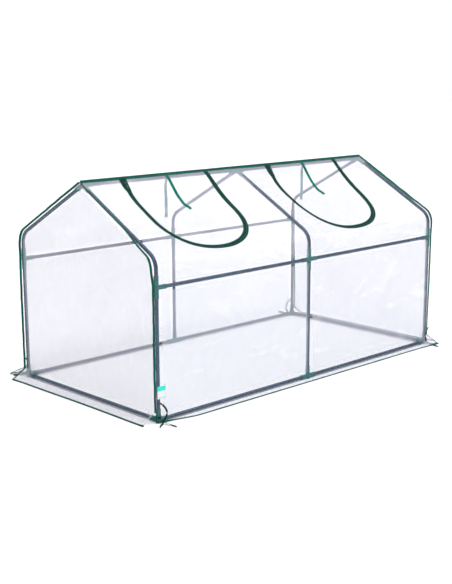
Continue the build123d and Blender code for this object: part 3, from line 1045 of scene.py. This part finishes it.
def long_grid(side):
    """Points of the front or back film, row by row from the ridge to the hem."""
    wall = np.arange(0.0, SKIRT_S, STEP)
    s = np.concatenate([[0.4], wall[1:], [SKIRT_S]])
    columns = []
    for end, value in film_columns():
        if end == 0:
            columns.append(cover_surface(np.full(s.shape, value), s, side))
        elif value <= 1:
            lift = end_wrinkle(s, value, 31 + side)
            columns.append(wrap_point(end, value * seam_wrap(s, end, side), s, side, lift))
        else:
            foot, outward, _ = seam_frame(s, end, side)
            columns.append(foot + outward * seam_stand(s, end, side)[:, None])
    grid = np.stack(columns, axis=1)
    top = grid[-1]
    hem = long_hem(np.clip(top[:, 0], -HEM_HALF, HEM_HALF), side)
    weight = 8 * smooth((ARCH_X - 8 - np.abs(top[:, 0])) / 120)
    rows = skirt_rows(top, hem, weight)
    wave = ripple(top[:, 0], 0 * top[:, 0], 51 + side, 160)
    for k, row in enumerate(rows[3:-1]):
        row[:, 2] += np.clip(1.6 * wave + 1.2, 0, None) * math.sin(math.pi * (k + 1) / 7)
    return np.concatenate([grid, np.stack(rows)]), s


def in_door(x, s):
    """Below 1 inside a door's outline, 1 on the zip's line."""
    across = np.abs(x - np.sign(x) * DOOR_X + DOOR_LEAN * s / DOOR_FOOT) / DOOR_HALF
    down = np.clip((s - LEG_END) / (DOOR_FOOT - LEG_END), 0, None)
    return (across**DOOR_ROUND + down**DOOR_ROUND) ** (1 / DOOR_ROUND)


def long_film(side, name):
    """Front or back film; the front one is cut out along the zips of its two doors."""
    grid, s = long_grid(side)
    rows, columns = grid.shape[:2]
    faces = grid_faces(rows, columns)
    if side < 0:
        x = np.array([value if end == 0 else end * 900 for end, value in film_columns()])
        depth = np.concatenate([s, np.full(rows - len(s), 2000.0)])
        xs, ss = np.meshgrid(x, depth)
        q = in_door(xs, ss).ravel()
        faces = [f for f in faces if not all(q[k] < 1 for k in f)]
        for k in sorted({k for f in faces for k in f if q[k] < 1}):
            px, ps = xs.ravel()[k], ss.ravel()[k]
            middle = math.copysign(DOOR_X, px)
            if ps <= LEG_END:
                px = middle + math.copysign(DOOR_HALF + 0.8, px - middle)
            else:
                grow = 1.003 / q[k]
                px = middle + (px - middle) * grow
                ps = LEG_END + (ps - LEG_END) * grow
            grid.reshape(-1, 3)[k] = cover_surface(px, ps, side)
    used = sorted({k for f in faces for k in f})
    renumber = {k: n for n, k in enumerate(used)}
    faces = [tuple(renumber[k] for k in f) for f in faces]
    if side > 0:
        faces = [f[::-1] for f in faces]
    points = grid.reshape(-1, 3)[used]
    film = film_object(name, points, faces, grid_uvs(grid)[used], FILM)
    return film, grid, len(s)


def gable_grid(end):
    """Points of a gable film between its two seams, row by row from the ridge to the hem."""
    s = np.concatenate([[1.0], np.arange(STEP, SKIRT_S, STEP), [SKIRT_S]])
    columns = []
    for side in (-1, 1):
        wrap = seam_wrap(s, end, side)
        foot, outward, _ = seam_frame(s, end, side)
        near = [foot + outward * seam_stand(s, end, side)[:, None]]
        for k in (0, 0.34, 0.67, 1.0):
            lift = end_wrinkle(s, 1 - k, 31 + side)
            near.append(wrap_point(end, wrap + (QUARTER - wrap).clip(0) * k, s, side, lift))
        columns.append(near)
    first, last = columns[0][-1], columns[1][-1]
    t = np.linspace(0, 1, 94)[1:-1]
    y, z = (first[:, None, k] + (last - first)[:, None, k] * t[None, :] for k in (1, 2))
    room = smooth(np.minimum(t, 1 - t)[None, :] * np.abs(last - first)[:, None, 1] / 60)
    rng = np.random.default_rng(71 + end)
    marks = []
    for _ in range(22):
        yy, zz, run = rng.uniform(-440, 440), rng.uniform(80, 760), rng.uniform(120, 360)
        lean = rng.uniform(-1.2, 1.2)
        width, height = rng.uniform(9, 22), rng.uniform(1.0, 2.6) * rng.choice([-1, 1])
        marks.append((yy, zz, yy + run * math.sin(lean), zz + run * math.cos(lean), width, height))
    dent = 5.0 * np.cos(np.clip(y / 470, -1, 1) * math.pi / 2) * smooth((z - 60) / 200)
    fold = creases(y, z, marks) + 1.4 * ripple(y, z, 81 + end, 260)
    x = end * (ARCH_X + GAP) + end * room * (fold - dent)
    middle = np.stack([x, y, z], axis=-1)
    left = np.stack(columns[0], axis=1)
    right = np.stack(columns[1][::-1], axis=1)
    grid = np.concatenate([left, middle, right], axis=1)
    top = grid[-1]
    hem = gable_hem(top[:, 1], end)
    weight = 8 * smooth((POST_Y - 6 - np.abs(top[:, 1])) / 110)
    rows = skirt_rows(top, hem, weight)
    return np.concatenate([grid, np.stack(rows)]), len(s)


def bind_skirt(solid, grid, wall_rows, out, reach, thick, open_front=False):
    """Tape folded over a skirt's free edges, or all but the front one with open_front."""
    skirt = grid[wall_rows - 1:]
    points = np.concatenate([skirt[:-1, 0], skirt[-1], skirt[:-1, -1][::-1]])
    inner = np.concatenate([skirt[:-1, 3], skirt[-3], skirt[:-1, -4][::-1]])
    rows = len(skirt) - 1
    inner[rows] = skirt[-3, 3]
    inner[-rows - 1] = skirt[-3, -4]
    if open_front:
        points, inner = points[rows - 1:], inner[rows - 1:]
    keep = np.concatenate([[True], np.linalg.norm(np.diff(points, axis=0), axis=1) > 0.4])
    points, inner = points[keep], inner[keep]
    tangent = tangents(points)
    inward = inner - points
    inward = squared(inward, tangent)
    normal = np.cross(tangent, inward)
    solid.tape(points, inward, normal, -out, reach, thick, cells=5)


def seam_fin(solid, end, side):
    """Binding that stands off the seam down one corner of the cover."""
    s = np.linspace(2, SKIRT_S + 6, 240)
    foot, outward, normal = seam_frame(s, end, side)
    start = seam_stand(s, end, side)
    low = start - seam_lap(s, end, side)
    solid.tape(foot, outward, normal, low, start + BINDING_OUT - 0.5, 2.4, cells=5)


def ridge_fin(solid):
    """Binding that stands up along the ridge, a little slack between the arches."""
    x = np.linspace(-ARCH_X - 13, ARCH_X + 13, 220)
    base = TOP_Z - 1.0 + 0 * x
    lean = 0.16 * ripple(x, 0 * x, 95, 300)
    points = np.stack([x, 0 * x, base], axis=1)
    upright = np.stack([0 * x, np.sin(lean), np.cos(lean)], axis=1)
    normal = np.cross([1.0, 0, 0], upright)
    solid.tape(points, upright, normal, -3.0, BINDING_OUT - 2.0, 2.8, cells=5)
    inner = np.clip(x, -ARCH_X, ARCH_X)
    flange, face = roof_frame(inner, 4.0 + 0 * x, 0.9)
    down = unit(roof_frame(inner, 5.0 + 0 * x, 0.9)[0] - flange)
    flange[:, 0] = x
    solid.tape(flange, down, face, -4.0, 4.5, 1.2, cells=4)


seams, hems = Solid(), Solid()
for face, side in SIDES.items():
    film, grid, wall_rows = long_film(side, f"{face}_film_sheet")
    place_piece(film, COVER, "clear_film", f"{face}_film")
    bind_skirt(hems, grid, wall_rows, 1.0, HEM_WIDTH - 1, 2.6)
for gable, end in BAYS.items():
    grid, wall_rows = gable_grid(end)
    film = grid_film(f"{gable}_gable_sheet", grid, SHADED_GABLE_FILM)
    place_piece(film, COVER, "clear_film", f"{gable}_gable_film")
    bind_skirt(hems, grid, wall_rows, 1.5, HEM_WIDTH, 4.6, open_front=True)
    for side in SIDES.values():
        seam_fin(seams, end, side)
ridge_fin(seams)
place_piece(seams.make("seam_binding_tape", BINDING), COVER, "binding", "seam_bindings")
place_piece(hems.make("hem_binding_tape", HEM), COVER, "binding", "hem_bindings")


# ------------------------------------------------------------------ label
def label():
    """Blank label sewn into the front left seam, curling off it."""
    low, high = (np.array(v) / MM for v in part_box("care_label"))
    u = np.linspace(0, 1, 9)
    v = np.linspace(0, 1, 12)
    front = []
    for up in v:
        curl = 3.0 * u**2 * (0.4 + 0.6 * up)
        x = low[0] - 3.0 + u * (high[0] - low[0] + 4.0)
        y = low[1] + 0.5 - curl
        z = low[2] + up * (high[2] - low[2])
        front.append(np.stack([x, y, np.full(x.shape, z)], axis=1))
    front = np.array(front)
    back = front + [0, 0.7, 0]
    count = front.shape[0] * front.shape[1]
    faces = grid_faces(*front.shape[:2])
    faces += [tuple(count + k for k in f) for f in faces]
    order = np.arange(count).reshape(front.shape[:2])
    rim = [*order[0], *order[1:, -1], *order[-1, -2::-1], *order[-2:0:-1, 0]]
    for a, b in zip(rim, rim[1:] + rim[:1]):
        faces.append(tuple(int(k) for k in (b, a, count + a, count + b)))
    points = np.concatenate([front.reshape(-1, 3), back.reshape(-1, 3)])
    uvs = (points - low)[:, [0, 2]]
    return new_object("label_tag", points, faces, uvs, LABEL)


place_piece(label(), COVER, "label", "care_label")


# ------------------------------------------------------------------ the doors' pieces, unparented with their placing baked in
for bay, pieces in LIFTED.items():
    for piece in pieces:
        piece.parent = None
        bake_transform(piece)


# ------------------------------------------------------------------ floor and light
FLOOR_SIZE = 30
SOFT_BOXES = ((0.60, -0.27, 0.75), (-0.27, 0.70, 0.66))  # directions of the two soft boxes
LAMPS = {  # the way each one shines, its strength and its spread in degrees
    "overhead_light": ((-0.15, 0.2, -1.0), 2.15, 70),
    "side_light": ((0.8, 0.75, -0.9), 0.55, 40),
}


def sky():
    """White backdrop, with soft light that is strongest overhead and in two soft boxes."""
    world = bpy.data.worlds.new("studio")
    bpy.context.scene.world = world
    n = Nodes(world, "Background")
    way = n.add("TexCoord").outputs["Generated"]
    glow = n.remap(n.add("SeparateXYZ", Vector=way).outputs[2], 0.0, 0.9, 0.04, 0.62)
    for aim in SOFT_BOXES:
        turned = n.add("VectorMath", operation="DOT_PRODUCT")
        n.plug(turned, "0", way)
        n.plug(turned, "1", Vector(aim).normalized())
        glow = n.math("ADD", glow, n.remap(turned.outputs["Value"], 0.975, 0.985, 0.0, 2.2))
    seen = n.add("LightPath").outputs["Is Camera Ray"]
    n.set(Color=(1.0, 1.0, 1.0, 1), Strength=n.math("MAXIMUM", glow, seen))


def studio():
    """White floor and soft white studio light."""
    mesh = bpy.data.meshes.new("floor")
    corners = [(x * FLOOR_SIZE, y * FLOOR_SIZE, 0) for x, y in ((-1, -1), (1, -1), (1, 1), (-1, 1))]
    mesh.from_pydata(corners, [], [(0, 1, 2, 3)])
    floor = bpy.data.objects.new("floor", mesh)
    bpy.context.scene.collection.objects.link(floor)
    paint = new_material("floor_paint")
    paint.set(Base_Color=(0.95, 0.955, 0.96, 1), Roughness=0.9, Specular_IOR_Level=0.1)
    mesh.materials.append(paint.material)
    sky()
    for name, (aim, strength, spread) in LAMPS.items():
        data = bpy.data.lights.new(name, "SUN")
        data.energy = strength
        data.angle = math.radians(spread)
        lamp = bpy.data.objects.new(name, data)
        lamp.rotation_euler = Vector(aim).to_track_quat("-Z", "Y").to_euler()
        bpy.context.scene.collection.objects.link(lamp)
    bpy.context.scene.view_settings.view_transform = "Standard"


studio()
